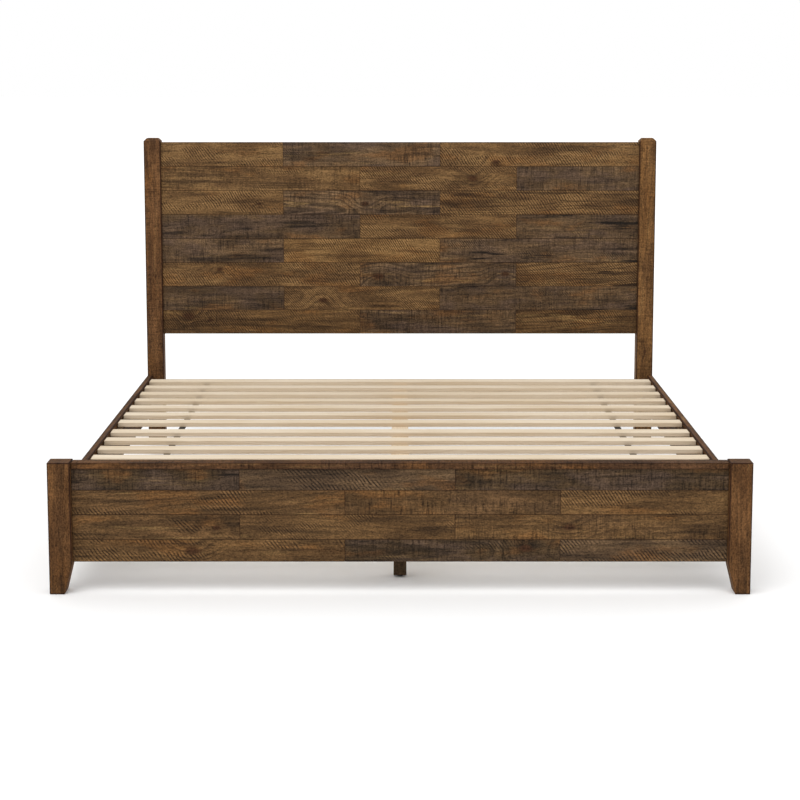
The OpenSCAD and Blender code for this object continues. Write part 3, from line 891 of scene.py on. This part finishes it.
THREAD_PITCH, THREAD_DEPTH = 0.00125, 0.0004
BALL_R, NECK_R, SOCKET_R = 0.0033, 0.0024, 0.0034
THREAD_FROM = 0.0066  # where the thread begins, above the floor
TINY = 0.0003  # the least radius of a turned piece, at its pole


def ball_arc(radius, middle, degrees):
    """Points round a ball, at these angles above its equator."""
    return [(max(TINY, radius * math.cos(a)), middle + radius * math.sin(a))
            for a in map(math.radians, degrees)]


def thread_at(outer, height):
    """The outline of a thread at a height: it climbs one pitch in each turn."""
    return lambda angle: outer - THREAD_DEPTH * abs(
        2 * ((height / THREAD_PITCH - angle / (2 * math.pi)) % 1) - 1)


def stem_profile(outer, bottom, top):
    """A stem from its ball up: a neck, then a thread, and plain at the very top."""
    root, begin, rise = outer - 2 * THREAD_DEPTH, THREAD_FROM + 0.0005, THREAD_PITCH / 8
    rings = round((top - 0.001 - THREAD_FROM) / rise) - 4
    profile = ball_arc(BALL_R, bottom + BALL_R, range(-84, 46, 10))
    profile += [(NECK_R, THREAD_FROM - 0.0006), (NECK_R, THREAD_FROM), (root, THREAD_FROM + 0.0001)]
    profile += [(thread_at(outer, begin + rise * i), begin + rise * i) for i in range(rings)]
    return profile + [(root, top)]


def pad_profile(wide, tall, middle):
    """A pad from its hollow underside, round its soft shoulder and down into the ball's socket."""
    profile = [(0.0072, 0.0004), (0.0078, 0.0), (wide - 0.0024, 0.0), (wide - 0.0018, 0.0003),
               (wide - 0.0003, 0.0022), (wide, 0.0029), (wide, tall - 0.0016),
               (wide - 0.0003, tall - 0.0007), (wide - 0.0009, tall - 0.0002),
               (wide - 0.0018, tall), (0.0040, tall), (0.0034, tall - 0.0002)]
    return profile + ball_arc(SOCKET_R, middle, range(20, -90, -10))


def levelling_feet(steel, nylon):
    """A threaded stem with a ball end, and a turned pad that holds the ball, under each leg."""
    for place in ("foot", "middle", "head"):
        node = f"levelling_stem_{place}"
        lo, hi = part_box(node)
        centre, middle = (lo + hi) / 2, lo.z + BALL_R
        profile = stem_profile((hi.x - lo.x) / 2, lo.z, hi.z)
        turned(node + "_thread", profile, centre, steel, node, f"stem_{place}")

        node = f"levelling_pad_{place}"
        lo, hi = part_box(node)
        profile = pad_profile((hi.x - lo.x) / 2, hi.z - lo.z, middle)
        turned(node + "_nylon", profile, centre, nylon, node, f"pad_{place}")


def turned(name, profile, centre, material, node, body):
    """A turned piece standing at centre's x and y."""
    verts, faces = lathe(profile)
    mesh = solid_mesh(name, [v + Vector((centre.x, centre.y, 0)) for v in verts], faces)
    piece(name, mesh, material, [node], body)


def webbing_material():
    """Dark woven webbing, each column of yarns half a yarn on from the last, with painted shade between
    the yarns and a painted highlight on their crowns.
    """
    yarn_w, yarn_l = 0.0011, 0.0022
    material, tree, shader = new_material("woven strap")
    place = tree.add("ShaderNodeTexCoord").outputs["Object"]
    across, along, _ = tree.parts(place)
    column = tree.math("DIVIDE", across, yarn_w)
    row = tree.plus(tree.math("DIVIDE", along, yarn_l), tree.times(tree.math("FLOOR", column), 0.5))
    bulge_and_shade = 1.0
    for count in (column, row):
        wave = tree.math("ABSOLUTE", tree.math("SINE", tree.times(count, math.pi)))
        bulge_and_shade = tree.times(bulge_and_shade, wave)
    fuzz = tree.noise(place, (900.0, 900.0, 900.0), 2.0, 0.6)
    # Painted shade and highlight: each yarn lighter on its crown and darker between the yarns, from how
    # far it bulges.
    light = tree.plus(tree.times(bulge_and_shade, 0.75), tree.times(fuzz, 0.5))
    colour = tree.mix(light, srgb(26, 24, 23), srgb(74, 69, 65))
    dent = tree.add("ShaderNodeBump", {"Strength": 0.8, "Distance": 0.0004, "Height": bulge_and_shade})
    tree.link(colour, shader.inputs["Base Color"])
    tree.link(dent.outputs[0], shader.inputs["Normal"])
    shader.inputs["Roughness"].default_value = 0.9
    shader.inputs["Specular IOR Level"].default_value = 0.2
    return material


def straps():
    """Two flat straps under the slats."""
    webbing = webbing_material()
    for side in ("left", "right"):
        node = f"slat_strap_{side}"
        lo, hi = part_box(node)
        mesh = bar_mesh(node, lo, hi, "y", 0.0005, 0.0, 0.020, random.Random(node))
        piece(node + "_webbing", mesh, webbing, [node])


def kept_nodes(by_slot):
    """CAD nodes whose shape is right: they keep it, with their arrises softened, and get a material."""
    slots = {part["node"]: part["material_slot"] for part in frame["record"]["subparts"]}
    kept = {"corner_brackets": 0.0006, "beam_hanger_foot": 0.0009, "beam_hanger_head": 0.0009,
            "leg_inserts": 0.0003, "strap_staples": 0.0002, "headboard_dowels": 0.0006,
            "footboard_dowels": 0.0006}
    for node, width in kept.items():
        obj = frame["nodes"][node]
        for material_slot in obj.material_slots:
            material_slot.link = "OBJECT"
            material_slot.material = by_slot[slots[node]]
        soften = obj.modifiers.new("softened arrises", "BEVEL")
        soften.width = width
        soften.segments = 2
        soften.limit_method = "ANGLE"
        soften.angle_limit = math.radians(40)


def hardware():
    """Everything of steel or nylon, and the dowels."""
    steel = plain_material("zinc steel", srgb(186, 188, 190), 0.38, metallic=1.0)
    nylon = plain_material("black nylon", srgb(26, 26, 27), 0.50)
    beech = plain_material("beech dowel", srgb(206, 176, 130), 0.6)
    all_fasteners(steel)
    levelling_feet(steel, nylon)
    kept_nodes({"zinc_steel": steel, "beech_dowel": beech})


# ---------------------------------------------------------------- floor, light and camera


def floor():
    """A wide pale floor. The world behind it is as bright, so that no horizon shows."""
    reach, just_below = 60.0, -0.0002
    corners = [(-reach, -reach, 0), (reach, -reach, 0), (reach, reach, 0), (-reach, reach, 0)]
    mesh = solid_mesh("floor", corners, [(0, 1, 2, 3)])
    obj = placed("floor", mesh)
    obj.location.z = just_below
    material, _, shader = new_material("pale floor")
    shader.inputs["Base Color"].default_value = (0.94, 0.94, 0.94, 1)
    shader.inputs["Roughness"].default_value = 0.9
    shader.inputs["Specular IOR Level"].default_value = 0.1
    mesh.materials.append(material)


def aimed(name, data, place, target):
    """Puts a lamp at a place, turned towards a target."""
    obj = placed(name, data)
    obj.location = place
    obj.rotation_mode = "QUATERNION"
    obj.rotation_quaternion = (Vector(target) - Vector(place)).to_track_quat("-Z", "Y")


def lights():
    """White surroundings, and one broad soft sun from the front left and above."""
    world = bpy.data.worlds.new("studio")
    bpy.context.scene.world = world
    world.use_nodes = True
    world.node_tree.nodes["Background"].inputs["Color"].default_value = (1, 1, 1, 1)
    world.node_tree.nodes["Background"].inputs["Strength"].default_value = 1.0
    sun = bpy.data.lights.new("soft sun", "SUN")
    sun.energy = 1.1
    sun.angle = math.radians(50)
    aimed("soft sun", sun, (-2.0, -3.6, 6.0), (0, 0, 0))


def camera():
    """Seen straight from the foot, from standing height, with a long lens."""
    data = bpy.data.cameras.new("camera")
    obj = placed("camera", data)
    data.sensor_width = 36
    data.lens = 84.07
    data.shift_y = -0.12
    obj.location = (0, -6.268, 1.528)
    obj.rotation_euler = (math.radians(90 - 7.61), 0, 0)
    bpy.context.scene.camera = obj


for group in (grain_group, sawn_plank_group, pine_group):
    group()
camera()
lights()
floor()
plank_rows("headboard", HEADBOARD)
plank_rows("footboard", FOOTBOARD)
headboard_posts()
footboard_posts()
footboard_cap()
side_rails()
lower_rail()
centre_legs()
pine_parts()
straps()
hardware()
bpy.context.scene.view_settings.view_transform = "Standard"
